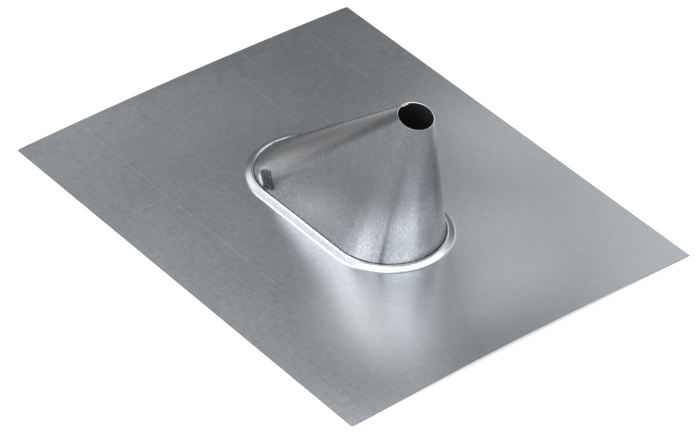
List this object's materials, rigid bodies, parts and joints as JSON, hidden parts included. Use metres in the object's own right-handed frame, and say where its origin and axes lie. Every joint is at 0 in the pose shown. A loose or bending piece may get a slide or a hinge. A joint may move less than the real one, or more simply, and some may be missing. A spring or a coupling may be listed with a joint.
{
  "type": "pipe flashing boot",
  "caption": "Galvanised roof plate with a slanted tapering hood and round rim for a pipe or mast, locked into a raised band round the plate's opening.",
  "frame": {"origin": "middle of the plate's underside, on the roof face", "axes": "+Z square to the roof, out of it; +Y down the roof, along the plate's length; +X across the roof"},
  "size_m": [0.4, 0.5, 0.1546],
  "materials": {
    "plate_sheet": "hot-dip galvanised steel sheet, faint rolling lines, satin zinc grey",
    "hood_sheet": "hot-dip galvanised steel sheet, rolled, satin zinc grey"
  },
  "bodies": {
    "root": {"base_plate": "plate_sheet", "hood": "hood_sheet"}
  },
  "joints": []
}
